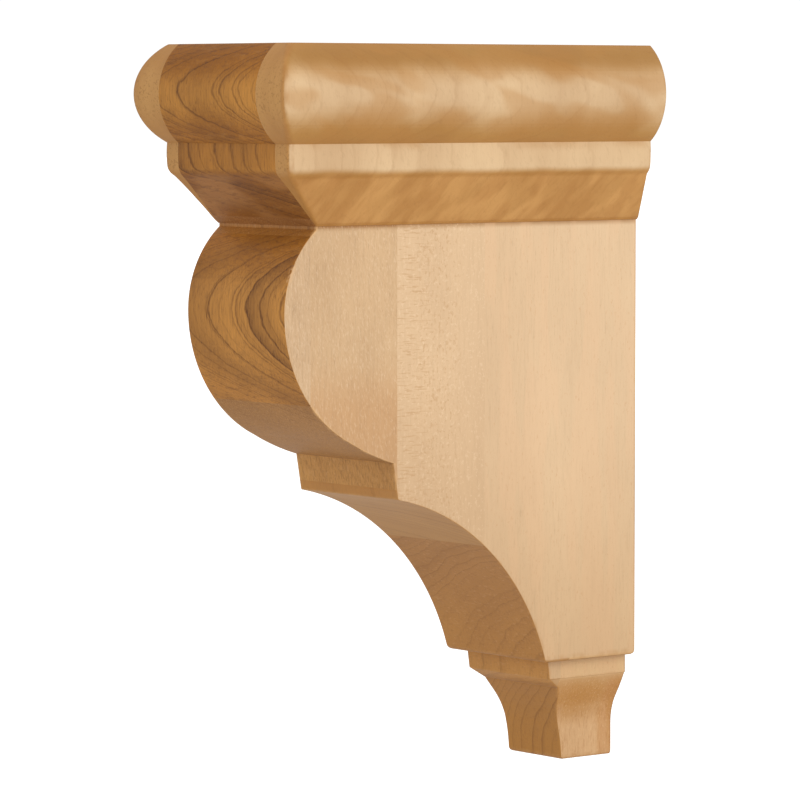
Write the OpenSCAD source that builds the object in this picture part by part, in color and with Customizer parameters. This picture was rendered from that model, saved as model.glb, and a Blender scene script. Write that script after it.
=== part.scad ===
// Wooden corbel bracket.
//
// A block of five maple boards glued face to face, its front shaped into a belly, a small
// fillet, a long cove and a finial, and its sides cut back at the finial. Two shorter boards
// are glued to the sides of the block at the top, and the cap moulding runs round all of them.
// The neck under the cap is cut deeper than the front board, so it parts that board in two.
//
// The wall is the plane y = 0 and the front looks along -Y. The origin is in the middle of
// the back. Profiles are drawn from the foot up, in [distance from the wall or from the
// middle, height above the foot].

/* [Overall] */
// Height from the foot to the top of the cap
total_h = 260; // [215:1:330]
// Depth from the wall to the front of the bullnose
total_d = 172; // [144:1:215]
// Width of the body between its side faces
body_w = 56.8; // [46:0.2:69]
// Width of the cap across its bullnose
cap_w = 89.4; // [80:0.2:112]

/* [Boards] */
// Thickness of the front board, at its thickest
front_board_t = 23.3; // [19:0.1:30]
// Thickness of the board behind it, which holds most of the belly
belly_board_t = 38; // [30:0.5:42]
// Thickness of the middle board
middle_board_t = 39.5; // [30:0.5:42]
// Thickness of the board in front of the wall board
inner_board_t = 40; // [30:0.5:42]

/* [Cap] */
// Radius of the bullnose
bullnose_r = 21.6; // [18:0.1:26]
// How far the bullnose stands out from the fillet below it
bullnose_out = 8.4; // [6:0.1:10]
// How far the edge of the flat top lies behind the front of the bullnose
bullnose_in = 8.8; // [7:0.1:11]
// Height of the flat fillet below the bullnose
fillet_h = 7.7; // [6:0.1:12]
// Height of the rounded shoulder between the fillet and the bevel
shoulder_h = 4; // [3:0.1:5]
// Run of the rounded shoulder
shoulder_in = 1.9; // [1:0.1:2.4]
// Height of the bevel below the shoulder
bevel_h = 16.7; // [13:0.1:22]
// Run of the bevel at the front, from the shoulder back to the neck
bevel_run = 15.5; // [11:0.1:19]
// How far the underside of the cap stands out from the side of the body
cap_lip = 1.3; // [1.1:0.1:3]
// Radius of the lower edge of the bevel at the sides
lip_r = 1; // [0.5:0.1:1]

/* [Belly] */
// Height of the narrow flat at the neck, under the bevel
neck_h = 1.1; // [0.6:0.1:3]
// How far the belly swells out in front of the neck
belly_out = 13.7; // [10:0.1:17]
// Radius of the belly above its widest point
belly_upper_r = 38.1; // [31:0.1:46]
// Radius of the belly below its widest point
belly_lower_r = 50; // [41:0.1:61]
// Slope at which the curve under the belly leaves that round, in degrees
belly_slope = 34; // [30:1:38]
// Radius of the curve under the belly
belly_under_r = 95; // [79:1:114]

/* [Lower fillet] */
// How far the top of the lower fillet lies below the round of the belly
lower_fillet_drop = 3; // [2:0.1:4]
// How far the lower fillet stands back from the front of the belly
lower_fillet_in = 47.6; // [43:0.1:57]
// Height of the lower fillet
lower_fillet_h = 13; // [10:0.1:16]
// How far the face of the lower fillet leans back at its bottom
lower_fillet_lean = 2.2; // [0:0.1:4]

/* [Cove] */
// How far the cove leans forward from upright where it leaves the toe, in degrees
cove_lean = 15.8; // [10:0.1:22]
// Depth of the body at its bottom, where the cove ends
toe_d = 42.4; // [36:0.1:50]

/* [Finial] */
// Height of the finial
finial_h = 38.1; // [31:0.1:46]
// How far the finial stands in from the body, at the front and at both sides
finial_inset = 5.2; // [3:0.1:8]
// Height of the band at the top of the finial
band_h = 7; // [4:0.1:10]
// How far the front of the band leans back at its bottom
band_lean = 1; // [0:0.1:2]
// Run of the slope under the front of the band
band_step = 5.6; // [3:0.1:8]
// Height of the slope under the front of the band
band_step_h = 3.7; // [2:0.1:5]
// Run of the hollow front face, from the slope down to the foot
foot_in = 6.8; // [4:0.1:9]
// Radius of the hollow front face
foot_front_r = 72; // [60:1:87]
// Depth of the quirk under the band at the sides
quirk = 0.4; // [0.2:0.1:1]
// Run of the ogee at each side, from under the quirk down to the foot
ogee_run = 7.6; // [5:0.1:9]
// Height of the straight part of the foot below the ogee
foot_h = 12; // [8:0.1:15]
// Steepest slope of the ogee, from upright, in degrees
ogee_slope = 32; // [28:1:36]
// Radius of the hollow lower part of the ogee
ogee_hollow_r = 20; // [15:0.5:24]

/* [Hidden] */
$fn = 96;

front_wood = "#a8773f";
body_wood = "#e3c193";
cap_wood = "#cf9f66";

body_half = body_w / 2;
lap = 1;                 // overlap of two shapes that are joined
tuck = 0.15;             // how far the end of the under-belly curve lies inside the round
flats = 6;               // flats along a curve that is drawn as flats

// Distances from the wall
fillet_d = total_d - bullnose_out;
shoulder_d = fillet_d - shoulder_in;
neck_d = shoulder_d - bevel_run;
belly_d = neck_d + belly_out;
lower_fillet_d = belly_d - lower_fillet_in;
band_d = toe_d - finial_inset;
step_d = band_d - band_lean - band_step;
foot_d = step_d - foot_in;

// Half-widths
lip_half = body_half + cap_lip;
band_half = body_half - finial_inset;
ogee_half = band_half - quirk;
foot_half = ogee_half - ogee_run;

// Heights above the foot, from the top down
bullnose_rise = sqrt(pow(bullnose_r, 2) - pow(bullnose_r - bullnose_in, 2));
bullnose_drop = sqrt(pow(bullnose_r, 2) - pow(bullnose_r - bullnose_out, 2));
bullnose_mid = total_h - bullnose_rise;
fillet_top = bullnose_mid - bullnose_drop;
fillet_bottom = fillet_top - fillet_h;
bevel_top = fillet_bottom - shoulder_h;
cap_bottom = bevel_top - bevel_h;
neck_bottom = cap_bottom - neck_h;
belly_mid = neck_bottom - sqrt(pow(belly_upper_r, 2) - pow(belly_upper_r - belly_out, 2));
lower_fillet_top = belly_mid - belly_lower_r - lower_fillet_drop;
lower_fillet_bottom = lower_fillet_top - lower_fillet_h;
band_bottom = finial_h - band_h;

// The neck parts the front board in two at its middle
neck_mid = (cap_bottom + neck_bottom) / 2;

// The two ends of the cove, and its radius
toe = [toe_d, finial_h];
fillet_low = [lower_fillet_d - lower_fillet_lean, lower_fillet_bottom];
cove_chord = fillet_low - toe;
cove_r = norm(cove_chord) / (2 * sin(atan2(cove_chord.x, cove_chord.y) - cove_lean));

// The ogee turns over from round to hollow at this point
ogee_turn = [foot_half + ogee_hollow_r * (1 - cos(ogee_slope)),
             foot_h + ogee_hollow_r * sin(ogee_slope)];
ogee_top = [ogee_half, band_bottom];
ogee_chord = norm(ogee_top - ogee_turn);
ogee_chord_slope = atan2(ogee_top.x - ogee_turn.x, ogee_top.y - ogee_turn.y);
ogee_round_r = ogee_chord / (2 * sin(max(ogee_slope - ogee_chord_slope, 1)));

// The shoulder leaves the fillet upright
shoulder_r = (pow(shoulder_in, 2) + pow(shoulder_h, 2)) / (2 * shoulder_in);

// Joint planes, from the wall
front_joint = total_d - front_board_t;
belly_joint = front_joint - belly_board_t;
middle_joint = belly_joint - middle_board_t;
wall_joint = middle_joint - inner_board_t;

// The middle of the circle of radius r that runs from p to q and lies to the right of them
function arc_middle(p, q, r) =
    let (chord = norm(q - p), right = [q.y - p.y, p.x - q.x] / chord)
    (p + q) / 2 + sqrt(r * r - chord * chord / 4) * right;

// Points between p and q along a curve of radius r that bows out to the left of the line
function bowed(p, q, r) =
    let (middle = arc_middle(p, q, r), start = atan2(p.y - middle.y, p.x - middle.x),
         turn = 2 * asin(norm(q - p) / (2 * r)))
    [for (i = [1:flats - 1])
        let (a = start - turn * i / flats)
        middle + r * [cos(a), sin(a)]];

// The same, for a curve that bows out to the right of the line
function bowed_right(p, q, r) =
    let (points = bowed(q, p, r))
    [for (i = [1:flats - 1]) points[flats - 1 - i]];

// A cap moulding that ends at distance `out`, with the block behind it
module cap_profile(out, bevel_end) {
    fillet = out - bullnose_out;
    shoulder = [fillet - shoulder_in, bevel_top];
    edge = [fillet, fillet_bottom];
    nose_middle = [out - bullnose_r, bullnose_mid];
    polygon(concat(
        [[0, cap_bottom]], bevel_end, [shoulder],
        bowed_right(shoulder, edge, shoulder_r),
        [edge, [fillet, bullnose_mid], nose_middle,
         [nose_middle.x, total_h], [0, total_h]]
    ));
    intersection() {
        translate(nose_middle) circle(bullnose_r);
        translate([nose_middle.x - lap, fillet_top - lap])
            square([bullnose_r + 2 * lap, total_h - fillet_top + lap]);
    }
}

// The block from the cap down to the toe, seen from the side
module body_front_profile() {
    fillet_high = [lower_fillet_d, lower_fillet_top];
    lower_middle = [belly_d - belly_lower_r, belly_mid];
    upper_middle = [belly_d - belly_upper_r, belly_mid];
    round_end = lower_middle
        + (belly_lower_r - tuck) * [sin(belly_slope), -cos(belly_slope)];
    cove_middle = arc_middle(toe, fillet_low, cove_r);
    beyond_low = fillet_low + (fillet_low - fillet_high) / 4;
    difference() {
        union() {
            polygon(concat(
                [[0, finial_h], toe + [lap, 0], beyond_low, fillet_high],
                bowed_right(fillet_high, round_end, belly_under_r),
                [round_end, [neck_d, belly_mid], [neck_d, cap_bottom + lap],
                 [0, cap_bottom + lap]]
            ));
            intersection() {
                translate(upper_middle) circle(belly_upper_r);
                translate(upper_middle) square(belly_upper_r + lap);
            }
            intersection() {
                translate(lower_middle) circle(belly_lower_r);
                translate(lower_middle - [0, belly_lower_r + lap])
                    square(belly_lower_r + lap);
            }
        }
        intersection() {
            translate(cove_middle) circle(cove_r);
            translate(toe - [lap, lap]) square(2 * cove_r);
        }
    }
}

// Everything in front of the wall, seen from the side
module front_profile() {
    foot = [foot_d, 0];
    step = [step_d, band_bottom - band_step_h];
    cap_profile(total_d, [[neck_d, cap_bottom]]);
    body_front_profile();
    polygon(concat(
        [[0, 0], foot], bowed(foot, step, foot_front_r), [step],
        [[band_d - band_lean, band_bottom], [band_d, finial_h], [band_d, finial_h + lap],
         [0, finial_h + lap]]
    ));
}

// The right half of the outline, seen from the front
module side_profile_half() {
    ogee_bottom = [foot_half, foot_h];
    cap_profile(cap_w / 2, [[lip_half - lip_r, cap_bottom], [lip_half, cap_bottom + lip_r]]);
    translate([0, finial_h]) square([body_half, cap_bottom + lap - finial_h]);
    polygon(concat(
        [[0, 0], [foot_half, 0], ogee_bottom],
        bowed(ogee_bottom, ogee_turn, ogee_hollow_r), [ogee_turn],
        bowed_right(ogee_turn, ogee_top, ogee_round_r),
        [ogee_top, [band_half, band_bottom], [band_half, finial_h + lap],
         [0, finial_h + lap]]
    ));
}

// The whole corbel, before it is parted into its boards
module corbel() {
    intersection() {
        rotate([90, 0, -90]) linear_extrude(cap_w, center = true) front_profile();
        rotate([90, 0, 0]) linear_extrude(total_d) union() {
            side_profile_half();
            mirror([1, 0]) side_profile_half();
        }
    }
}

// The part of the corbel between two distances from the wall, two places across and two
// heights
module corbel_part(from_d, to_d, from_x, to_x, bottom = 0, top = total_h) {
    translate([0, 0, -total_h / 2]) intersection() {
        corbel();
        translate([from_x, -to_d, bottom])
            cube([to_x - from_x, to_d - from_d, top - bottom]);
    }
}

// A board of the block, as wide as the body
module block_board(from_d, to_d, bottom = 0, top = total_h) {
    corbel_part(from_d, to_d, -body_half, body_half, bottom, top);
}

module front_cap_board() {
    color(front_wood) block_board(front_joint, total_d, bottom = neck_mid);
}

module front_belly_board() {
    color(front_wood) block_board(front_joint, total_d, top = neck_mid);
}

module belly_board() {
    color(body_wood) block_board(belly_joint, front_joint);
}

module middle_board() {
    color(body_wood) block_board(middle_joint, belly_joint);
}

module inner_board() {
    color(body_wood) block_board(wall_joint, middle_joint);
}

module wall_board() {
    color(body_wood) block_board(0, wall_joint);
}

module left_cap_board() {
    color(cap_wood) corbel_part(0, total_d, -cap_w / 2, -body_half, cap_bottom);
}

module right_cap_board() {
    color(cap_wood) corbel_part(0, total_d, body_half, cap_w / 2, cap_bottom);
}

front_cap_board();
front_belly_board();
belly_board();
middle_board();
inner_board();
wall_board();
left_cap_board();
right_cap_board();
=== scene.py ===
"""Looks of the wooden corbel bracket.

Each board is modelled again with eased edges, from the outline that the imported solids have, and gets
a procedural solid-wood material: growth rings round a far pith, fibres, pores, small marks, worn
arrises and a satin lacquer. The front plank's two boards share one material, and so do the two at
the sides of the cap.
"""

import math
import random

import bmesh
import bpy
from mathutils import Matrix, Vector
from mathutils.bvhtree import BVHTree


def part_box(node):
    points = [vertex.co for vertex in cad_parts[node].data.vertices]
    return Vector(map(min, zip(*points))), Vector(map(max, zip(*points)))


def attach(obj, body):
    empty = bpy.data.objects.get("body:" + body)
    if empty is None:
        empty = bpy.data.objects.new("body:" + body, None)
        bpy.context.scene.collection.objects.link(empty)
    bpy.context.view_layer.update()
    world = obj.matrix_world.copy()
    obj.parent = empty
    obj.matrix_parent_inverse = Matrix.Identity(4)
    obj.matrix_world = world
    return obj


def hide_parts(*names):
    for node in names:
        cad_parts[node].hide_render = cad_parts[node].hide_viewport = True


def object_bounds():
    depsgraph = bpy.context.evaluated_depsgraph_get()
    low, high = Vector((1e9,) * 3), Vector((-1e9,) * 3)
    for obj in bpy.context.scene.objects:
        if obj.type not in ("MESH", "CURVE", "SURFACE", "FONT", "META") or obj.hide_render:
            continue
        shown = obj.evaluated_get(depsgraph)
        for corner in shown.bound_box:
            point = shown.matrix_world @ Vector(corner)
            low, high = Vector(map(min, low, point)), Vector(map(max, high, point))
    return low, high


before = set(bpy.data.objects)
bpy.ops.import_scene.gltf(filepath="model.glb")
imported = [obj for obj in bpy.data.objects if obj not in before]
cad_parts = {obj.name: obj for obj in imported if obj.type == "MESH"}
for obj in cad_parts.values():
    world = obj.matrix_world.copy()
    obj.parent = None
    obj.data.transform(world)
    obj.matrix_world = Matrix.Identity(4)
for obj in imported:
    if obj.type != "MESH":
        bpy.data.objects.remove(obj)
cad_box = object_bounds()

MM = 0.001

# Edges, in metres
CAP_EASE = 1.6 * MM       # the upright corners of the cap
BODY_EASE = 0.55 * MM     # the body's upright edges
BACK_EASE = 0.4 * MM      # the upright edges at the wall
JOINT_EASE = 0.05 * MM    # the hairline at a glue joint
CORNER_EASE = 0.8 * MM    # an outward corner of the outline
TOE_EASE = 2.0 * MM       # the bottom edge of the body
FOOT_EASE = 1.6 * MM      # the bottom edge of the foot
CAP_SHARES = (0.6, 0.3, 0.1)  # of a cap board's thickness: most for its corner, back and joint
SPLIT_UNDER_CAP = 0.5 * MM    # how far under the cap the front plank parts into two boards

# Chips in the right edge of the belly, which is the near one in the photo, in metres
CHIPPED = (12 * MM, 19 * MM)  # how far under the cap they start and end
CHIPS = 3
CHIP_SEED = 5
CHIP_REACH = (0.8 * MM, 1.8 * MM)  # half the length of a chip
CHIP_DEPTH = (0.15 * MM, 0.4 * MM)
CHIP_STEP = 0.25 * MM     # spacing of levels there

# Mesh density, in metres unless it says otherwise
HAIR = 0.02 * MM          # how far above or below a level the outline is looked up
PLACES = 6                # decimals of a level, so that two of one height are equal
NEAR = 0.35 * MM          # points of the outline nearer than this are merged, corners apart
CORNER_TURN = 14          # the least turn of the outline at a corner, in degrees
STEP = 0.9 * MM           # spacing of points along a curve of the outline
ARC_STEPS = 4             # steps round an eased edge
SUPPORT = 0.9 * MM        # distance of the supporting loops from an eased edge
SPANS = 5                 # spans across a face, between its supporting loops
LEVEL_GAP = 0.12 * MM     # levels nearer than this are merged, corners apart
CORNER_REACH = 1.5        # how far from a corner its two sides are sampled, in radii of its easing
CORNER_CLEAR = 1.1        # points this near a corner give way to its arc, in lengths that it takes
MOST_TAKEN = 0.9          # the largest share of a stretch of outline that an eased corner takes
SHARP_TURN = 32           # faces that turn by more than this are shaded with a hard edge, in degrees
NORMAL_WEIGHT = 80        # over 50, larger faces count more in the shading
CUT_TOLERANCE = 1e-7      # how near a plane a point counts as on it

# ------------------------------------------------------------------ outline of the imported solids


def solid_tree(nodes):
    """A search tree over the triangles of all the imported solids, and their vertices."""
    points, faces = [], []
    for node in nodes.values():
        first = len(points)
        points += [v.co.copy() for v in node.data.vertices]
        faces += [[first + i for i in p.vertices] for p in node.data.polygons]
    return BVHTree.FromPolygons(points, faces), points


def reach(tree, axis, z):
    """How far the solids reach along +X (axis 0) or -Y (axis 1) at height z, or None."""
    start = Vector((1, -BACK_EASE, z)) if axis == 0 else Vector((HAIR, -1, z))
    towards = Vector((-1, 0, 0)) if axis == 0 else Vector((0, 1, 0))
    hit = tree.ray_cast(start, towards)[0]
    return None if hit is None else abs(hit[axis])


def read_outline(tree, points, axis):
    """The outline seen from the front (axis 0) or from the side (axis 1), from the top down, as
    (distance, height). Its points are vertices of the solids, and a ledge has two of one height."""
    sign = 1 if axis == 0 else -1
    levels = {}
    for p in points:
        if p[axis] * sign > 0:
            levels.setdefault(round(p.z, PLACES), set()).add(round(p[axis] * sign, PLACES))
    found = []
    for z in sorted(levels, reverse=True):
        for lift in (HAIR, -HAIR):
            end = reach(tree, axis, z + lift)
            if end is None:
                continue
            nearest = min(levels[z], key=lambda d: abs(d - end))
            if abs(nearest - end) < 3 * HAIR and (not found or found[-1] != (nearest, z)):
                found.append((nearest, z))
    return thinned([Vector(p) for p in found])


def turn_at(before, here, after):
    """Signed turn of a path at a point, in degrees. An outward corner turns by a negative angle."""
    a, b = here - before, after - here
    return math.degrees(math.atan2(a.x * b.y - a.y * b.x, a.dot(b)))


def thinned(path):
    """The path without the points that crowd another, unless they make a ledge or a corner."""
    kept = [path[0]]
    for i in range(1, len(path) - 1):
        here, after = path[i], path[i + 1]
        on_ledge = here.y in (kept[-1].y, after.y)
        crowded = (here - kept[-1]).length < NEAR or (after - here).length < NEAR
        if on_ledge or not crowded or abs(turn_at(kept[-1], here, after)) > 2 * CORNER_TURN:
            kept.append(here)
    return kept + [path[-1]]


def reflected(slope, chord):
    """The slope at the far end of a chord whose near end has this slope, if an arc joins them."""
    along = chord.normalized()
    return 2 * along.dot(slope) * along - slope


def smooth_run(run):
    """A curve through the points of a stretch of outline that has no corner."""
    slopes = []
    for before, here, after in zip(run, run[1:], run[2:]):
        a, b = here - before, after - here
        slopes.append((a.normalized() * b.length + b.normalized() * a.length).normalized())
    if slopes:
        slopes.insert(0, reflected(slopes[0], run[1] - run[0]))
        slopes.append(reflected(slopes[-1], run[-1] - run[-2]))
    else:
        slopes = [(run[1] - run[0]).normalized()] * 2
    made = [run[0]]
    for a, b, leave, arrive in zip(run, run[1:], slopes, slopes[1:]):
        length = (b - a).length
        count = max(1, round(length / STEP))
        for k in range(1, count + 1):
            t = k / count
            made.append(
                a * (2 * t**3 - 3 * t**2 + 1)
                + leave * length * (t**3 - 2 * t**2 + t)
                + b * (3 * t**2 - 2 * t**3)
                + arrive * length * (t**3 - t**2)
            )
    return made


def corner_arc(before, here, after, radius):
    """Points of an arc of that radius in place of a corner, and how much it takes off each side."""
    turn = math.radians(abs(turn_at(before, here, after)))
    shorter = min((after - here).length, (here - before).length)
    taken = min(radius * math.tan(turn / 2), MOST_TAKEN * shorter)
    start = here + (before - here).normalized() * taken
    end = here + (after - here).normalized() * taken
    arc = []
    for i in range(ARC_STEPS + 1):
        t = i / ARC_STEPS
        arc.append(start.lerp(here, t).lerp(here.lerp(end, t), t))
    return arc, taken


def smooth_runs(outline):
    """The path from the middle of the top to the middle of the bottom, as curves between corners."""
    path = [Vector((0, outline[0].y))] + outline + [Vector((0, outline[-1].y))]
    last = len(path) - 1
    stops = [i for i in range(1, last) if abs(turn_at(*path[i - 1 : i + 2])) > CORNER_TURN]
    return [smooth_run(path[a : b + 1]) for a, b in zip([0] + stops, stops + [last])]


def refine(outline, ease_at):
    """The whole path with smooth curves and eased outward corners, as (point, edge) pairs. edge is
    1 on an eased corner and 0 elsewhere."""
    first, *others = smooth_runs(outline)
    made = [(p, 0.0) for p in first]
    for run in others:
        corner = run[0]
        before = next(p for p, _ in reversed(made) if (p - corner).length > HAIR)
        if turn_at(before, corner, run[1]) < 0:
            radius = ease_at(corner.y)
            near = CORNER_REACH * radius
            back = [p for p, _ in made if (p - corner).length > near][-1]
            ahead = next((p for p in run if (p - corner).length > near), run[-1])
            arc, taken = corner_arc(back, corner, ahead, radius)
            while (made[-1][0] - corner).length < taken * CORNER_CLEAR:
                made.pop()
            made += [(p, 1.0) for p in arc]
            run = [p for p in run if (p - corner).length > taken * CORNER_CLEAR]
        made += [(p, 0.0) for p in run]
    return made


class Profile:
    """A refined outline that can be looked up by height, just above or just below a level."""

    def __init__(self, outline, ease_at):
        self.points = []
        level = math.inf
        for p, edge in refine(outline, ease_at):
            level = min(level, round(p.y, PLACES))
            self.points.append((p.x, level, edge))
        self.top, self.bottom = self.points[0][1], self.points[-1][1]

    def levels(self):
        """Heights of the points, each with whether it has to be kept."""
        ends = (self.top, self.bottom)
        heights = [z for _, z, _ in self.points]
        return [(z, edge > 0 or heights.count(z) > 1 or z in ends) for _, z, edge in self.points]

    def at(self, z, below):
        """(distance, edge) at height z, on the lower side of a ledge there if below is true."""
        pairs = list(zip(self.points, self.points[1:]))
        for a, b in reversed(pairs) if below else pairs:
            if a[1] >= z >= b[1] and a[1] > b[1]:
                t = (a[1] - z) / (a[1] - b[1])
                return a[0] + (b[0] - a[0]) * t, a[2] + (b[2] - a[2]) * t
        raise ValueError(f"no outline at height {z}")


# ------------------------------------------------------------------ lofted boards


def merged_levels(*profiles, extra=()):
    """Heights at which rings are drawn, from the top down."""
    found = {}
    for profile in profiles:
        for z, needed in profile.levels():
            found[z] = found.get(z, False) or needed
    for z in extra:
        found[z] = True
    kept = []
    needed_levels = [z for z, needed in found.items() if needed]
    for z in sorted(found, reverse=True):
        by_last = kept and kept[-1] - z < LEVEL_GAP
        by_needed = any(0 < abs(z - needed) < LEVEL_GAP for needed in needed_levels)
        if found[z] or not (by_last or by_needed):
            kept.append(z)
    return kept


def face_steps(start, end):
    """Places along a straight face, from the end of one eased corner to the start of the next."""
    span = end - start
    support = min(SUPPORT, abs(span) / 4) * (1 if span > 0 else -1)
    return [start + support + (span - 2 * support) * i / SPANS for i in range(SPANS + 1)]


def ring(x0, x1, depth, eases, edges):
    """One level of a board from x0 to x1 and from the wall out to depth, as (x, y, edge). eases
    gives the rounding of its corners, in the order back right, back left, front left, front right,
    and edges the edge value on the faces that follow them: back, left, front, right."""
    corners = [(x1, 0.0), (x0, 0.0), (x0, -depth), (x1, -depth)]
    made = []
    for k in range(4):
        corner, ease = Vector(corners[k]), eases[k]
        before, after = Vector(corners[k - 1]), Vector(corners[(k + 1) % 4])
        towards, away = (corner - before).normalized(), (after - corner).normalized()
        middle = corner - towards * ease + away * ease
        shown = 1.0 if ease > JOINT_EASE else 0.0
        for i in range(ARC_STEPS + 1):
            turn = math.pi / 2 * i / ARC_STEPS
            p = middle - away * ease * math.cos(turn) + towards * ease * math.sin(turn)
            made.append((p.x, p.y, shown))
        for step in face_steps(ease, (after - corner).length - eases[(k + 1) % 4]):
            p = corner + away * step
            made.append((p.x, p.y, edges[k]))
    return made


def loft(rings):
    """A closed mesh through rings of (z, points), from the top down."""
    mesh = bmesh.new()
    edge_layer = mesh.verts.layers.float.new("edge")
    rows = []
    for z, points in rings:
        row = []
        for x, y, edge in points:
            v = mesh.verts.new((x, y, z))
            v[edge_layer] = edge
            row.append(v)
        rows.append(row)
    count = len(rows[0])
    for upper, lower in zip(rows, rows[1:]):
        for i in range(count):
            j = (i + 1) % count
            mesh.faces.new((upper[i], lower[i], lower[j], upper[j]))
    mesh.faces.new(list(reversed(rows[-1])))
    mesh.faces.new(rows[0])
    return mesh


# ------------------------------------------------------------------ boards of this corbel


def edge_chips(low, high):
    """Small chips along an upright edge: the height, half the length and the depth of each."""
    draw = random.Random(CHIP_SEED)
    made = []
    for _ in range(CHIPS):
        height = draw.uniform(low, high)
        half_length = draw.uniform(*CHIP_REACH)
        made.append((height, half_length, draw.uniform(*CHIP_DEPTH)))
    return made


def chipped(z, chips):
    """How much more than its easing an edge has lost at a height."""
    cuts = [deep * (1 - ((z - height) / half_length) ** 2) for height, half_length, deep in chips]
    return max(0.0, *cuts)


def chip_levels(cap_bottom):
    """Heights of the close rings that the chips need."""
    start, end = CHIPPED
    steps = int((end - start) / CHIP_STEP)
    return [round(cap_bottom - start - CHIP_STEP * i, PLACES) for i in range(steps)]


def block_rings(front, side, half, cap_bottom, toe):
    """Rings of the block of upright boards. In the cap its sides are glue joints, half its width
    from the middle."""
    made = []
    chips = edge_chips(cap_bottom - CHIPPED[1], cap_bottom - CHIPPED[0])
    for z in merged_levels(front, side, extra=[cap_bottom, *chip_levels(cap_bottom)]):
        for below in (False, True):
            if (z == front.top and not below) or (z == front.bottom and below):
                continue
            depth, front_edge = front.at(z, below)
            reach_x, side_edge = side.at(z, below)
            if z > cap_bottom or (z == cap_bottom and not below):
                eases, reach_x, side_edge = [JOINT_EASE] * 4, half, 0.0
            else:
                eases = [back_ease(z, toe)] * 2 + [BODY_EASE, BODY_EASE + chipped(z, chips)]
            points = ring(-reach_x, reach_x, depth, eases, (0.0, side_edge, front_edge, side_edge))
            if not made or made[-1] != (z, points):
                made.append((z, points))
    return made


def back_ease(z, toe):
    """Rounding of the upright edges at the wall, which grows towards the body's bottom edge."""
    height = z - toe
    if not 0 <= height < TOE_EASE:
        return BACK_EASE
    return BACK_EASE + TOE_EASE - math.sqrt(TOE_EASE**2 - (TOE_EASE - height) ** 2)


def cap_rings(front, side, half, cap_bottom, right):
    """Rings of the board at one side of the cap, which starts at half the block's width."""
    made = []
    for z in merged_levels(front, side, extra=[cap_bottom]):
        for below in (False, True):
            if z < cap_bottom or (z == cap_bottom and below) or (z == front.top and not below):
                continue
            depth, front_edge = front.at(z, below)
            reach_x, side_edge = side.at(z, below)
            thickness = reach_x - half
            limits = (CAP_EASE, BACK_EASE, JOINT_EASE)
            corner, back, joint = (min(e, share * thickness) for e, share in zip(limits, CAP_SHARES))
            if right:
                eases, edges = (back, joint, joint, corner), (0.0, 0.0, front_edge, side_edge)
                points = ring(half, reach_x, depth, eases, edges)
            else:
                eases, edges = (joint, back, corner, joint), (0.0, side_edge, front_edge, 0.0)
                points = ring(-reach_x, -half, depth, eases, edges)
            if not made or made[-1] != (z, points):
                made.append((z, points))
    return made


def cut(mesh, place, normal):
    """Cuts a closed mesh at a plane, drops what lies on the side of the normal and closes the cut."""
    bmesh.ops.bisect_plane(
        mesh,
        geom=mesh.verts[:] + mesh.edges[:] + mesh.faces[:],
        dist=CUT_TOLERANCE,
        plane_co=place,
        plane_no=normal,
        clear_outer=True,
    )
    open_edges = [e for e in mesh.edges if len(e.link_faces) == 1]
    if open_edges:
        bmesh.ops.holes_fill(mesh, edges=open_edges, sides=0)


def board_between(block, near, far, low=None, high=None):
    """The part of the block between two distances from the wall, and between two heights."""
    mesh = block.copy()
    planes = [((0, -near, 0), (0, 1, 0)), ((0, -far, 0), (0, -1, 0))]
    planes += [((0, 0, low), (0, 0, -1))] if low is not None else []
    planes += [((0, 0, high), (0, 0, 1))] if high is not None else []
    for place, normal in planes:
        cut(mesh, place, normal)
    return mesh


def add_piece(node, mesh, material):
    """Adds a board's mesh to the scene in place of its CAD node."""
    data = bpy.data.meshes.new(node + "_wood")
    bmesh.ops.recalc_face_normals(mesh, faces=mesh.faces[:])
    mesh.to_mesh(data)
    mesh.free()
    data.shade_smooth()
    data.set_sharp_from_angle(angle=math.radians(SHARP_TURN))
    data.materials.append(material)
    piece = bpy.data.objects.new(node + "_wood", data)
    bpy.context.scene.collection.objects.link(piece)
    weighted = piece.modifiers.new("weighted_normals", "WEIGHTED_NORMAL")
    weighted.keep_sharp = True
    weighted.weight = NORMAL_WEIGHT
    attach(piece, "root")
    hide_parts(node)


# ------------------------------------------------------------------ materials
#
# Inside the wood, lengths are in millimetres. A size is how long a feature is along x, y and z, and
# a span is where a noise starts to show and where it shows in full.

PER_METRE = (1000.0,) * 3

FACE_TO_EDGE = (0.45, 0.8)     # how far a surface turns sideways where it stops being the face
SIDE_TO_END = (0.1, 0.66)      # how far it turns up or down where it starts to be the end
END_BLOTCH = 0.45              # how much the blotches wander the start of the end grain

WAVE_SIZE = (40, 40, 75)       # the slow bends of the rings
RIPPLE_SIZE = (5, 5, 7)        # their small bends
BLOTCH_SIZE = (26, 26, 60)     # where the lacquer took unevenly
BLOTCH_SPAN = (-0.25, 0.25)
FIBRE_SIZE = (0.7, 0.7, 10)
PORE_SIZE = (0.45, 0.45, 3.2)
PORE_SPAN = (0.56, 0.72)
PATCH_SPAN = (0.42, 0.62)
WEAR_SIZE = (3, 3, 5)          # where worn arrises are bare
WEAR_SPAN = (0.35, 0.65)
SIDE_GRAIN = 0.55              # how strongly the fibres and pores show on a side

DRIFT_SIZE = 7                 # the slow change of colour from ring to ring
DRIFT_SPAN = (-0.2, 0.25)
SIDE_DRIFT = 0.05              # how strongly that change shows on a side
SPACING_SIZE = 8               # over how many millimetres the rings crowd and spread
SPACING_CHANGE = 3.0           # by how many rings
# How dark a year's ring is, from its start to its end
YEAR_SHADES = [(0.0, 0.0), (0.45, 0.08), (0.8, 0.3), (0.92, 1.0), (0.97, 0.7), (1.0, 0.0)]
FAINTEST_YEAR = 0.2            # how dark the faintest year is, where the darkest is 1

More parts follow.
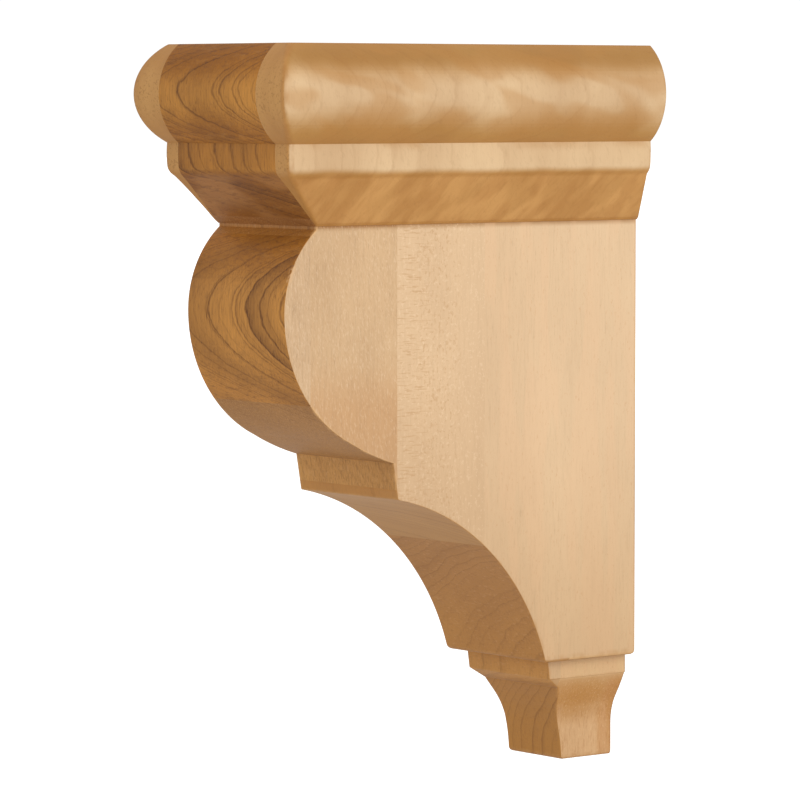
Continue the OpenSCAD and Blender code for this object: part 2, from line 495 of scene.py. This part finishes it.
HALF_LINE = 0.17               # half the width of a strong ring's line
SIDE_LINES = 0.1               # how strongly those lines show on a side
FADED = 0.3                    # what is left of the darker wood after a line, at the next line
RINGS_A_RAMP = 10              # as many strong rings as one colour ramp holds

DEEPER = (0.8, 0.735, 0.645, 1.0)  # the wood is a little deeper in colour towards the foot
DEEPER_SPAN = (20, -125)       # heights where that starts and ends
FRONT_DEEPER = 0.2             # how much of it the front shows

BUMP_STRENGTH = 0.2
BUMP_HEIGHT = 0.15 * MM
FIBRE_BUMP = 0.7
PORE_BUMP = -0.4
RING_BUMP = -0.3
ROUGHNESS = (0.44, 0.52)       # from fibre to fibre
FIBRE_SPAN = (-0.25, 0.25)
END_ROUGHER = 0.06
SHEEN = 0.2                    # specular level of the thin lacquer


class Graph:
    """Short calls that add nodes to a material and return their output sockets."""

    def __init__(self, name):
        self.material = bpy.data.materials.new(name)
        self.material.use_nodes = True
        self.tree = self.material.node_tree
        self.tree.nodes.clear()

    def node(self, kind, inputs=(), **settings):
        made = self.tree.nodes.new(kind)
        for key, value in settings.items():
            setattr(made, key, value)
        for key, value in dict(inputs).items():
            self.feed(made.inputs[key], value)
        return made

    def feed(self, socket, value):
        if isinstance(value, bpy.types.NodeSocket):
            self.tree.links.new(value, socket)
        else:
            socket.default_value = value

    def math(self, operation, a, b=0.0, clamp=False):
        return self.node("ShaderNodeMath", {0: a, 1: b}, operation=operation, use_clamp=clamp).outputs[0]

    def vector(self, operation, a, b=(0.0, 0.0, 0.0)):
        made = self.node("ShaderNodeVectorMath", {0: a, 1: b}, operation=operation)
        return made.outputs["Value" if operation == "LENGTH" else "Vector"]

    def parts(self, vector):
        return self.node("ShaderNodeSeparateXYZ", {0: vector}).outputs

    def joined(self, x, y=0.0, z=0.0):
        return self.node("ShaderNodeCombineXYZ", {0: x, 1: y, 2: z}).outputs[0]

    def total(self, *values):
        summed = values[0]
        for value in values[1:]:
            summed = self.math("ADD", summed, value)
        return summed

    def product(self, *values):
        made = values[0]
        for value in values[1:]:
            made = self.math("MULTIPLY", made, value)
        return made

    def noise(self, place, size, detail=2.0, roughness=0.5, distortion=0.0):
        """Noise whose features are about as long as size says."""
        stretched = self.vector("MULTIPLY", place, [1 / length for length in size])
        made = self.node("ShaderNodeTexNoise", {"Vector": stretched, "Scale": 1.0, "Detail": detail})
        made.inputs["Roughness"].default_value = roughness
        made.inputs["Distortion"].default_value = distortion
        return made

    def level(self, value, low, high, to_low=0.0, to_high=1.0, ease="SMOOTHSTEP"):
        """Takes values from low to high over to the range from to_low to to_high."""
        inputs = {"Value": value, "From Min": low, "From Max": high, "To Min": to_low, "To Max": to_high}
        return self.node("ShaderNodeMapRange", inputs, interpolation_type=ease).outputs[0]

    def centred(self, noise):
        return self.math("SUBTRACT", noise.outputs[0], 0.5)

    def mix(self, factor, a, b, blend="MIX"):
        made = self.node("ShaderNodeMix", data_type="RGBA", blend_type=blend)
        self.feed(made.inputs["Factor"], factor)
        self.feed(made.inputs[6], a)
        self.feed(made.inputs[7], b)
        return made.outputs[2]

    def ramp(self, value, stops):
        made = self.node("ShaderNodeValToRGB", {"Fac": value})
        elements = made.color_ramp.elements
        while len(elements) < len(stops):
            elements.new(0.5)
        for element, (place, shade) in zip(elements, stops):
            element.position = place
            element.color = (shade, shade, shade, 1.0)
        return made.outputs[0]


def colour(r, g, b):
    """A colour given as the eye sees it, from 0 to 255, in the shader's own values."""
    return [*(((c / 255 + 0.055) / 1.055) ** 2.4 for c in (r, g, b)), 1.0]


def from_pith(g, place, look):
    """Distance from the tree's middle, which leans, on slightly wavy rings."""
    wave = g.vector("SUBTRACT", g.noise(place, WAVE_SIZE).outputs["Color"], (0.5,) * 3)
    ripple = g.vector("SUBTRACT", g.noise(place, RIPPLE_SIZE, detail=3.0).outputs["Color"], (0.5,) * 3)
    bent = g.vector("ADD", place, g.vector("MULTIPLY", wave, (look["wave"],) * 3))
    bent = g.vector("ADD", bent, g.vector("MULTIPLY", ripple, (look["ripple"],) * 3))
    x, y, z = g.parts(bent)
    pith_x, pith_depth = look["pith"]
    lean_x, lean_depth = look["lean"]
    across = g.total(x, -pith_x, g.product(z, -lean_x))
    deep = g.total(g.product(y, -1.0), -pith_depth, g.product(z, -lean_depth))
    return g.vector("LENGTH", g.joined(across, deep))


def growth_rings(g, radius, spacing):
    """How dark each year's ring is, from 0 to 1: slowly darker outwards, then a sharp end."""
    uneven = g.noise(g.joined(radius), (SPACING_SIZE,) * 3, detail=1.0)
    count = g.total(g.math("DIVIDE", radius, spacing), g.product(uneven.outputs[0], SPACING_CHANGE))
    number = g.math("FLOOR", count)
    year = g.node("ShaderNodeTexWhiteNoise", {"W": number}, noise_dimensions="1D").outputs[0]
    shade = g.ramp(g.math("FRACT", count), YEAR_SHADES)
    return g.product(shade, g.level(year, 0.0, 1.0, FAINTEST_YEAR, 1.0, ease="LINEAR"))


def strong_rings(g, radius, strong):
    """How dark the rings that stand out are, and the wood after each."""
    shade = 0.0
    for first in range(0, len(strong), RINGS_A_RAMP):
        some = strong[first : first + RINGS_A_RAMP]
        low, high = some[0][0] - 1, some[-1][0] + 1
        stops, before = [(0.0, 0.0)], 0.0
        for ring_radius, dark, after in some:
            for offset, dark_there in ((-HALF_LINE, before), (0.0, dark), (HALF_LINE, after)):
                stops.append(((ring_radius + offset - low) / (high - low), dark_there))
            before = FADED * after
        stops.append((1.0, 0.0))
        shade = g.math("MAXIMUM", shade, g.ramp(g.level(radius, low, high, ease="LINEAR"), stops))
    return shade


def facing(g, normal, blotch):
    """How much a surface shows each way through the plank: its face, its edge or its end."""
    normal_x, _, normal_z = (g.math("ABSOLUTE", part) for part in g.parts(normal))
    side = g.level(normal_x, *FACE_TO_EDGE)
    end = g.level(g.total(normal_z, g.product(blotch, END_BLOTCH)), *SIDE_TO_END)
    along = g.math("SUBTRACT", 1.0, end)
    front = g.math("SUBTRACT", 1.0, side)
    return {
        "all": 1.0,
        "side": side,
        "front": front,
        "end": end,
        "edge": g.product(side, along),
        "face": g.product(front, along),
        "edge_end": g.product(side, end),
    }


def by_side(g, shown, on_front, on_side):
    """One value on the front and another on the sides."""
    return g.level(shown["side"], 0, 1, on_front, on_side)


def slanted(g, place, slant):
    """The place, moved along y by so much for each step up, so that marks lean."""
    if not slant:
        return place
    x, y, z = g.parts(place)
    return g.joined(x, g.total(y, g.product(z, slant)), z)


def crisp_marks(g, place, size, low, high):
    """Small marks with crisp edges, 1 where there is one and 0 elsewhere."""
    return g.level(g.noise(place, size, roughness=0.6, distortion=0.5).outputs[0], low, high)


def soft_patches(g, place, size):
    """Larger soft patches, 1 where there is one and 0 elsewhere."""
    return g.level(g.noise(place, size, detail=1.0, roughness=0.4, distortion=0.3).outputs[0], *PATCH_SPAN)


def zone(g, shown, axes, on="all", **limits):
    """Where a band or a kind of mark lies: on which surfaces, and between which distances.

    Limits are given as where the rise starts and ends, and where the fall starts and ends.
    """
    inside = shown[on]
    for axis, (rise_start, rise_end, fall_start, fall_end) in limits.items():
        rise = g.level(axes[axis], rise_start, rise_end)
        inside = g.product(inside, rise, g.level(axes[axis], fall_start, fall_end, 1.0, 0.0))
    return inside


def base_tone(g, look, shown, axes, blotch):
    """The wood's colour before its rings, from the way each surface cuts the plank, with the front darker
    partly as painted shade, since it faces away from the light.
    """
    tone = g.mix(shown["side"], look["face"], look["edge"])
    tone = g.mix(shown["end"], tone, g.mix(shown["side"], look["end"], look["edge_end"]))
    for limits, band_tone, amount in look.get("bands", ()):
        tone = g.mix(g.product(zone(g, shown, axes, **limits), amount), tone, band_tone)
    uneven = by_side(g, shown, look["blotch"], look["edge_blotch"])
    return g.mix(g.product(g.level(blotch, *BLOTCH_SPAN), uneven), tone, look["line"])


def ring_lines(g, look, shown, radius):
    """How dark the growth rings are on each surface, the strong ones among them."""
    years = growth_rings(g, radius, look["spacing"])
    rings = g.product(years, by_side(g, shown, look["ring"], look["edge_ring"]))
    if "strong" not in look:
        return rings
    strong = g.product(strong_rings(g, radius, look["strong"]), by_side(g, shown, 1.0, SIDE_LINES))
    return g.math("MAXIMUM", rings, strong)


def drifting(g, look, shown, radius):
    """How much darker the wood is from one group of rings to the next."""
    drift = g.centred(g.noise(g.joined(radius), (DRIFT_SIZE,) * 3, detail=1.0))
    return g.product(g.level(drift, *DRIFT_SPAN), by_side(g, shown, 1.0, SIDE_DRIFT), look["drift"])


def with_marks(g, tone, look, shown, axes, place):
    """The tone with the look's patches, and its small marks over them."""
    for limits, size, slant, patch_tone, amount in look.get("patches", ()):
        patch = soft_patches(g, slanted(g, place, slant), size)
        tone = g.mix(g.product(patch, zone(g, shown, axes, **limits), amount), tone, patch_tone)
    for limits, size, slant, span, mark_tone, amount in look.get("marks", ()):
        mark = crisp_marks(g, slanted(g, place, slant), size, *span)
        tone = g.mix(g.product(mark, zone(g, shown, axes, **limits), amount), tone, mark_tone)
    return tone


def lacquered(g, tone, shown, fibres, pores, rings):
    """The surface: the tone under a thin satin lacquer, with the grain just felt through it."""
    parts = ((fibres, FIBRE_BUMP), (pores, PORE_BUMP), (rings, RING_BUMP))
    height = g.total(*(g.product(part, amount) for part, amount in parts))
    bump = {"Strength": BUMP_STRENGTH, "Distance": BUMP_HEIGHT, "Height": height}
    rough = g.total(g.level(fibres, *FIBRE_SPAN, *ROUGHNESS), g.product(shown["end"], END_ROUGHER))
    shader = g.node("ShaderNodeBsdfPrincipled", {"Base Color": tone, "Roughness": rough})
    g.feed(shader.inputs["Normal"], g.node("ShaderNodeBump", bump).outputs[0])
    g.feed(shader.inputs["Specular IOR Level"], SHEEN)
    g.node("ShaderNodeOutputMaterial", {"Surface": shader.outputs[0]})


def wood(name, look):
    """Solid maple with its grain along Z, under a thin satin lacquer."""
    g = Graph(name)
    coords = g.node("ShaderNodeTexCoord")
    place = g.vector("MULTIPLY", coords.outputs["Object"], PER_METRE)
    x, y, height = g.parts(place)
    axes = {"across": x, "depth": g.product(y, -1.0), "height": height}
    blotch = g.centred(g.noise(place, BLOTCH_SIZE, detail=3.0))
    shown = facing(g, coords.outputs["Normal"], blotch)
    shown["worn"] = g.node("ShaderNodeAttribute", attribute_name="edge").outputs["Fac"]

    radius = from_pith(g, place, look)
    rings = ring_lines(g, look, shown, radius)
    fibres = g.centred(g.noise(place, FIBRE_SIZE, detail=3.0, roughness=0.6))
    pores = crisp_marks(g, place, PORE_SIZE, *PORE_SPAN)
    grain = g.total(g.product(fibres, -look["fibre"]), g.product(pores, look["pore"]))
    shade = g.total(rings, g.product(grain, by_side(g, shown, 1.0, SIDE_GRAIN)))
    bare = g.level(g.noise(place, WEAR_SIZE).outputs[0], *WEAR_SPAN)
    deeper = g.product(g.level(height, *DEEPER_SPAN), by_side(g, shown, FRONT_DEEPER, 1.0))

    tone = base_tone(g, look, shown, axes, blotch)
    tone = g.mix(drifting(g, look, shown, radius), tone, look["line"])
    tone = g.mix(g.math("ADD", shade, 0.0, clamp=True), tone, look["line"])
    tone = g.mix(g.product(shown["worn"], bare, look["wear"]), tone, look["worn"])
    tone = with_marks(g, tone, look, shown, axes, place)
    tone = g.mix(deeper, tone, DEEPER, blend="MULTIPLY")
    lacquered(g, tone, shown, fibres, pores, rings)
    return g.material


# ------------------------------------------------------------------ the boards' looks


def band(tone, amount, **where):
    """A band of another tone."""
    return where, tone, amount


def patch(tone, amount, size, slant=0.0, **where):
    """Large soft patches of another tone."""
    return where, size, slant, tone, amount


def mark(tone, amount, size, span, slant=0.0, **where):
    """Small crisp marks. They start where the noise passes the span's start, and are full at its end."""
    return where, size, slant, span, tone, amount


# Zones, in millimetres: where each starts to show, shows in full, starts to fade and has gone.
# Heights are from the origin, at half the corbel's height, and depths from the wall.
BEVEL = {"height": (66, 67, 83, 87)}
CAP_BEVEL = {"height": (66, 67, 83.5, 86)}
FILLET = {"height": (85, 88, 97, 99)}
PAST_TOP = (140, 141)     # the zone goes on to the top
BULLNOSE = {"height": (92, 96, *PAST_TOP)}
BULLNOSE_TOP = {"height": (112, 125, *PAST_TOP)}
CAP_SIDE_TOP = {"height": (119, 125, *PAST_TOP)}
NECK = {"height": (44, 50, 66, 67)}
BELLY_MIDDLE = {"height": (-12, 0, 44, 54)}
BELLY_CHIP = {"across": (10, 12, 99, 100), "height": (47.5, 49, 53, 54.5)}
BELLY_FOOT = {"height": (-40, -25, 0, 25)}
COVE_START = {"height": (-60, -40, -5, 30)}
BAND_FRONT = {"height": (-102, -100, -93, -92)}
BAND_SIDE = {"height": (-100, -98.5, -91, -90)}
FROM_FOOT = (-131, -130)  # the zone starts at the foot
FINIAL = {"height": (*FROM_FOOT, -92, -90)}
BELOW_BAND = {"height": (*FROM_FOOT, -104, -99)}
OGEE = {"height": (-119, -113, -104, -99)}
FINIAL_TOE = {"height": (*FROM_FOOT, -118, -112)}
FROM_WALL = (-2, -1)      # the zone starts at the wall
FINIAL_BY_WALL = {"depth": (*FROM_WALL, 5, 8), "height": (*FROM_FOOT, -104, -97)}

# The front plank's strong rings: the distance from the pith, how dark the line is, and how dark the
# wood after it. They stand where the photo shows them on the belly and on the front of the cap.
FRONT_RINGS = [
    (921.5, 0.45, 0.1), (923.8, 0.5, 0.1), (927.4, 0.6, 0.15), (930.4, 0.8, 0.15),
    (933.5, 0.6, 0.2), (934.9, 1.0, 0.6), (936.7, 0.95, 0.25), (939.4, 0.8, 0.3),
    (941.2, 0.6, 0.1), (942.6, 0.55, 0.1), (944.2, 0.6, 0.15), (946.9, 0.85, 0.2),
    (950.4, 0.55, 0.1), (951.3, 0.7, 0.2), (952.8, 0.6, 0.1), (955.6, 0.9, 0.3),
]

# What several boards share
FRONT_TREE = {"pith": (-200.0, -750.0), "lean": (0.155, -0.09), "strong": FRONT_RINGS}
BACK_TREE = {"pith": (200.0, -750.0), "lean": (0.1, 0.1)}
# Painted shade: a dark band on the body's sides just under the cap, full at the cap's bottom edge and gone
# about 2 mm lower
SHADE_UNDER_CAP = band(colour(170, 124, 76), 0.75, on="side", height=(65.0, 67.2, 68, 69))
PALE_SIDE = patch(colour(233, 192, 151), 0.3, (8.0, 7.0, 45.0), on="edge")
SPECKS = mark(colour(206, 156, 110), 0.35, (0.5, 0.6, 1.8), (0.6, 0.72), on="edge")
FLECKS = [
    mark(colour(244, 216, 182), 0.24, (0.3, 0.5, 1.8), (0.52, 0.68), slant=0.15, on="edge"),
    mark(colour(182, 134, 88), 0.26, (0.3, 0.4, 1.5), (0.54, 0.68), slant=0.25, on="edge"),
]

# Each look has the tones of the plank's face, edge and end, of its dark lines and of its worn arrises,
# then the place and lean of its tree's middle and how far its rings bend, in millimetres, and then
# how far apart they are and how strongly the rings, the drift of colour, the fibres, the pores, the
# blotches and the wear show. What starts with edge_ is for the sides.
# The face tones are darker than the edge tones partly as the wood's own colour and partly as painted shade
# of the front, which faces away from the light.
LOOKS = {
    "front": {
        "face": colour(211, 146, 63), "edge": colour(217, 182, 142), "end": colour(183, 117, 36),
        "edge_end": colour(196, 146, 88), "line": colour(96, 54, 16), "worn": colour(214, 160, 96),
        **FRONT_TREE, "wave": 1.8, "ripple": 0.8,
        "spacing": 1.3, "ring": 0.5, "edge_ring": 0.02, "drift": 0.4,
        "fibre": 1.0, "pore": 0.35, "blotch": 0.26, "edge_blotch": 0.14, "wear": 0.1,
        "bands": [
            band(colour(154, 96, 38), 0.72, **BEVEL),
            band(colour(222, 156, 76), 0.55, on="front", **BELLY_MIDDLE),
            band(colour(196, 130, 50), 0.6, on="front", **FILLET),
            band(colour(166, 100, 4), 0.68, on="front", **BULLNOSE_TOP),
        ],
        "patches": [
            patch(colour(192, 134, 76), 0.4, (24.0, 16.0, 10.0), on="end", **BEVEL),
        ],
        "marks": [
            *FLECKS,
            mark(colour(90, 50, 22), 0.34, (5.0, 5.0, 0.9), (0.52, 0.68), on="end"),
            mark(colour(196, 140, 74), 0.14, (6.0, 6.0, 1.6), (0.54, 0.68), on="end"),
            mark(colour(222, 178, 130), 0.5, (1.2, 1.2, 3.0), (0.42, 0.55), on="worn", **BELLY_CHIP),
        ],
    },
    "belly": {
        "face": colour(206, 151, 84), "edge": colour(216, 180, 138), "end": colour(176, 125, 68),
        "edge_end": colour(200, 152, 96), "line": colour(104, 60, 22), "worn": colour(232, 186, 128),
        **FRONT_TREE, "wave": 2.0, "ripple": 0.5,
        "spacing": 1.6, "ring": 0.14, "edge_ring": 0.02, "drift": 0.1,
        "fibre": 0.8, "pore": 0.25, "blotch": 0.14, "edge_blotch": 0.14, "wear": 0.4,
        "bands": [
            band(colour(178, 118, 50), 1.0, on="front", **NECK),
            band(colour(160, 102, 50), 0.7, **BEVEL),
            band(colour(208, 160, 112), 0.65, on="edge", **BELLY_FOOT),
            SHADE_UNDER_CAP,
        ],
        "marks": [
            *FLECKS,
            mark(colour(116, 70, 38), 0.2, (2.0, 2.0, 1.0), (0.56, 0.7), on="front"),
            mark(colour(128, 80, 40), 0.36, (0.6, 0.6, 5.0), (0.5, 0.66), on="front"),
            mark(colour(226, 178, 124), 0.25, (0.5, 0.5, 3.0), (0.54, 0.7), on="front"),
        ],
    },
    "middle": {
        "face": colour(192, 136, 72), "edge": colour(226, 192, 152), "end": colour(190, 142, 88),
        "edge_end": colour(200, 152, 96), "line": colour(126, 78, 38), "worn": colour(206, 154, 94),
        "pith": (-150.0, -700.0), "lean": (0.05, 0.1), "wave": 5.0, "ripple": 1.0,
        "spacing": 2.6, "ring": 0.35, "edge_ring": 0.04, "drift": 0.1,
        "fibre": 0.5, "pore": 0.15, "blotch": 0.1, "edge_blotch": 0.1, "wear": 0.3,
        "bands": [
            band(colour(214, 178, 138), 0.35, on="edge", **COVE_START),
            SHADE_UNDER_CAP,
        ],
        "marks": [
            mark(colour(192, 148, 102), 0.5, (0.5, 6.0, 0.55), (0.54, 0.66), on="edge",
                 depth=(90, 102, 120, 121)),
            mark(colour(192, 148, 102), 0.42, (0.6, 1.0, 1.5), (0.54, 0.68), on="edge",
                 depth=(78, 88, 98, 106)),
            mark(colour(250, 222, 186), 0.22, (0.5, 1.2, 1.2), (0.55, 0.68), on="edge"),
        ],
    },
    "inner": {
        "face": colour(192, 136, 70), "edge": colour(231, 198, 158), "end": colour(184, 130, 72),
        "edge_end": colour(200, 152, 96), "line": colour(116, 70, 30), "worn": colour(196, 144, 84),
        **BACK_TREE, "wave": 7.0, "ripple": 1.2,
        "spacing": 2.2, "ring": 0.36, "edge_ring": 0.04, "drift": 0.2,
        "fibre": 0.6, "pore": 0.2, "blotch": 0.1, "edge_blotch": 0.1, "wear": 0.3,
        "bands": [
            band(colour(212, 154, 84), 0.6, on="front", **BAND_FRONT),
            band(colour(226, 192, 152), 0.9, on="edge", depth=(32, 66, 80, 81)),
            SHADE_UNDER_CAP,
        ],
        "patches": [PALE_SIDE],
        "marks": [
            SPECKS,
            mark(colour(214, 166, 114), 0.2, (2.5, 2.5, 0.7), (0.56, 0.7), on="front"),
            mark(colour(140, 90, 46), 0.24, (1.8, 1.8, 0.7), (0.55, 0.7), on="front"),
        ],
    },
    "wall": {
        "face": colour(187, 131, 62), "edge": colour(231, 198, 158), "end": colour(184, 132, 78),
        "edge_end": colour(208, 154, 84), "line": colour(112, 66, 26), "worn": colour(196, 144, 84),
        **BACK_TREE, "wave": 4.0, "ripple": 0.6,
        "spacing": 1.15, "ring": 0.5, "edge_ring": 0.04, "drift": 0.16,
        "fibre": 0.5, "pore": 0.15, "blotch": 0.1, "edge_blotch": 0.1, "wear": 0.3,
        "bands": [
            band(colour(232, 188, 140), 0.6, on="side", **FINIAL_TOE),
            band(colour(204, 146, 74), 0.55, on="side", **OGEE),
            band(colour(244, 208, 160), 0.7, on="side", **BAND_SIDE),
            band(colour(206, 148, 84), 0.6, on="side", **FINIAL_BY_WALL),
            # Painted shade: a thin dark strip on the side, along its back edge at the wall
            band(colour(150, 106, 62), 0.4, on="side", depth=(*FROM_WALL, 0.3, 0.9)),
            band(colour(220, 176, 122), 0.75, on="front", depth=(*FROM_WALL, 0.3, 0.7)),
            SHADE_UNDER_CAP,
        ],
        "patches": [PALE_SIDE],
        "marks": [
            SPECKS,
            mark(colour(176, 116, 58), 0.3, (0.7, 0.7, 5.0), (0.5, 0.68), on="side", **BELOW_BAND),
            mark(colour(248, 214, 170), 0.26, (0.45, 0.5, 1.2), (0.54, 0.68), on="side", **FINIAL),
            mark(colour(140, 88, 44), 0.22, (1.2, 1.2, 0.8), (0.55, 0.7), on="front", **FINIAL),
        ],
    },
    "cap": {
        "face": colour(200, 150, 88), "edge": colour(225, 192, 149), "end": colour(190, 138, 78),
        "edge_end": colour(187, 138, 74), "line": colour(146, 92, 42), "worn": colour(166, 112, 58),
        "pith": (-245.0, -11.0), "lean": (0.0, 0.0), "wave": 7.0, "ripple": 2.0,
        "spacing": 4.2, "ring": 0.15, "edge_ring": 0.16, "drift": 0.18,
        "fibre": 0.3, "pore": 0.15, "blotch": 0.26, "edge_blotch": 0.26, "wear": 0.35,
        "bands": [
            band(colour(188, 134, 68), 0.9, **CAP_BEVEL),
            band(colour(168, 124, 68), 0.6, on="side", **CAP_SIDE_TOP),
        ],
        "patches": [
            patch(colour(182, 128, 66), 0.4, (9.0, 20.0, 12.0), slant=0.9, on="side", **BULLNOSE),
            patch(colour(214, 160, 96), 0.36, (9.0, 12.0, 16.0), slant=-0.8, on="side", **BEVEL),
            patch(colour(162, 106, 48), 0.26, (5.0, 6.0, 14.0), slant=-0.8, on="side", **BEVEL),
        ],
        "marks": [
            mark(colour(120, 74, 32), 0.34, (1.0, 1.0, 1.0), (0.54, 0.66), on="face"),
            mark(colour(120, 74, 32), 0.08, (1.0, 1.2, 2.5), (0.54, 0.7), slant=0.4, on="side"),
            mark(colour(140, 84, 32), 0.1, (1.6, 1.8, 6.0), (0.5, 0.66), slant=-0.8, on="side", **BEVEL),
        ],
    },
}


# ------------------------------------------------------------------ setting

# The camera, as fitted to the object's outline in the photo
CAMERA_PLACE = (4.93155, -4.23624, 0.43539)  # from the origin, in heights of the corbel
CAMERA_DOWN = 3.84         # how far it looks down, in degrees
CAMERA_TURN = 51.6505      # how far it is turned from looking straight at the wall, in degrees
LENS = 206.4               # focal length, in millimetres
SENSOR = 36
CLIP = (0.05, 100)

# The one light and the white all round, in metres and watts
KEY_PLACE = (1.7, -0.4, 0.7)
KEY_SIZE = 1.1
KEY_POWER = 10.8
KEY_TINT = (1.0, 0.99, 0.97)
WORLD_SEEN = 1.05          # brightness of the white behind the corbel
WORLD_LIGHT = 0.82         # and of the white that lights it
WHITE = (1, 1, 1, 1)

FLOOR_DROP = 0.3           # how far the floor is under the corbel, which hangs on its wall
FLOOR_SIZE = 30.0
FLOOR_CELLS = 8
FLOOR_SHADE = (0.93, 0.93, 0.93, 1.0)
FLOOR_GLOW = 0.55
FLOOR_BOUNCE = (0.85, 0.85, 0.85, 1.0)  # its shade for the light that it gives back to the wood


def add_light(name, place, target, size, power, tint):
    """A square soft light that points at the target."""
    data = bpy.data.lights.new(name, "AREA")
    data.shape = "RECTANGLE"
    data.size = data.size_y = size
    data.energy = power
    data.color = tint
    light = bpy.data.objects.new(name, data)
    light.location = place
    light.rotation_euler = (Vector(target) - Vector(place)).to_track_quat("-Z", "Y").to_euler()
    bpy.context.scene.collection.objects.link(light)


def floor_material():
    """Pale and matt. It glows a little for the camera alone, and can be seen through from below."""
    g = Graph("pale_floor")
    place = g.node("ShaderNodeTexCoord").outputs["Object"]
    speck = g.noise(place, (0.3, 0.3, 0.3)).outputs[0]
    rough = g.level(speck, 0.3, 0.7, 0.8, 0.9)
    seen = g.node("ShaderNodeBsdfPrincipled", {"Base Color": FLOOR_SHADE, "Roughness": rough})
    g.feed(seen.inputs["Emission Color"], WHITE)
    g.feed(seen.inputs["Emission Strength"], FLOOR_GLOW)
    bounce = g.node("ShaderNodeBsdfDiffuse", {"Color": FLOOR_BOUNCE})
    to_camera = g.node("ShaderNodeLightPath").outputs["Is Camera Ray"]
    both = g.node("ShaderNodeMixShader", {0: to_camera, 1: bounce.outputs[0], 2: seen.outputs[0]})
    under = g.node("ShaderNodeNewGeometry").outputs["Backfacing"]
    clear = g.node("ShaderNodeBsdfTransparent")
    one_sided = g.node("ShaderNodeMixShader", {0: under, 1: both.outputs[0], 2: clear.outputs[0]})
    g.node("ShaderNodeOutputMaterial", {"Surface": one_sided.outputs[0]})
    return g.material


def add_floor(height):
    """A plain pale floor at that height."""
    mesh = bmesh.new()
    bmesh.ops.create_grid(mesh, x_segments=FLOOR_CELLS, y_segments=FLOOR_CELLS, size=FLOOR_SIZE)
    bmesh.ops.translate(mesh, verts=mesh.verts[:], vec=(0, 0, height))
    data = bpy.data.meshes.new("floor")
    mesh.to_mesh(data)
    mesh.free()
    data.materials.append(floor_material())
    floor = bpy.data.objects.new("floor", data)
    bpy.context.scene.collection.objects.link(floor)


def add_world():
    """White all round. What lights the wood is softer than the white that the camera sees."""
    world = bpy.data.worlds.new("studio")
    bpy.context.scene.world = world
    world.use_nodes = True
    tree = world.node_tree
    tree.nodes.clear()
    mix = tree.nodes.new("ShaderNodeMixShader")
    for socket, strength in ((1, WORLD_LIGHT), (2, WORLD_SEEN)):
        background = tree.nodes.new("ShaderNodeBackground")
        background.inputs["Color"].default_value = WHITE
        background.inputs["Strength"].default_value = strength
        tree.links.new(background.outputs[0], mix.inputs[socket])
    path = tree.nodes.new("ShaderNodeLightPath")
    out = tree.nodes.new("ShaderNodeOutputWorld")
    tree.links.new(path.outputs["Is Camera Ray"], mix.inputs[0])
    tree.links.new(mix.outputs[0], out.inputs[0])


def add_camera(height):
    """The camera looks from the right of the front, slightly down, through a long lens."""
    data = bpy.data.cameras.new("camera")
    data.lens = LENS
    data.sensor_width = SENSOR
    data.clip_start, data.clip_end = CLIP
    camera = bpy.data.objects.new("camera", data)
    camera.location = [share * height for share in CAMERA_PLACE]
    camera.rotation_euler = [math.radians(a) for a in (90 - CAMERA_DOWN, 0.0, CAMERA_TURN)]
    bpy.context.scene.collection.objects.link(camera)
    bpy.context.scene.camera = camera


# ------------------------------------------------------------------ the scene

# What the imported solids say: their outlines from the side and from the front, and their glue planes
tree, points = solid_tree(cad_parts)
side_view = read_outline(tree, points, 1)
front_view = read_outline(tree, points, 0)
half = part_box("belly_board")[1].x
cap_bottom = round(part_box("left_cap_board")[0].z, PLACES)
front_joint = -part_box("belly_board")[0].y
belly_joint, middle_joint, wall_joint = (
    -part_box(node)[1].y for node in ("belly_board", "middle_board", "inner_board")
)

# The body's toe is the widest ledge that the outline has seen from the side.
ledges = [(a.x - b.x, a.y) for a, b in zip(side_view, side_view[1:]) if a.y == b.y]
toe = max(ledges)[1]
foot = side_view[-1].y


def ease_at(z):
    """The rounding of an outward corner of the outline at that height."""
    if abs(z - toe) < MM:
        return TOE_EASE
    return FOOT_EASE if abs(z - foot) < MM else CORNER_EASE


front = Profile(side_view, ease_at)
side = Profile(front_view, ease_at)
materials = {name: wood(name + "_wood", look) for name, look in LOOKS.items()}

block = loft(block_rings(front, side, half, cap_bottom, toe))
neck_z = cap_bottom - SPLIT_UNDER_CAP
past_front = MM - cad_box[0].y

# Each board of the block, its look, and where it lies: from how far to how far from the wall, and
# for the two of the front plank also above or below what height
boards = [
    ("front_cap_board", "front", (front_joint, past_front, neck_z, None)),
    ("front_belly_board", "front", (front_joint, past_front, None, neck_z)),
    ("belly_board", "belly", (belly_joint, front_joint)),
    ("middle_board", "middle", (middle_joint, belly_joint)),
    ("inner_board", "inner", (wall_joint, middle_joint)),
    ("wall_board", "wall", (-MM, wall_joint)),
]
for node, look, limits in boards:
    add_piece(node, board_between(block, *limits), materials[look])
block.free()
for node, right in (("left_cap_board", False), ("right_cap_board", True)):
    add_piece(node, loft(cap_rings(front, side, half, cap_bottom, right)), materials["cap"])

add_camera(cad_box[1].z - cad_box[0].z)
add_world()
add_floor(cad_box[0].z - FLOOR_DROP)
add_light("key", KEY_PLACE, (cad_box[0] + cad_box[1]) / 2, KEY_SIZE, KEY_POWER, KEY_TINT)
bpy.context.scene.view_settings.view_transform = "Standard"
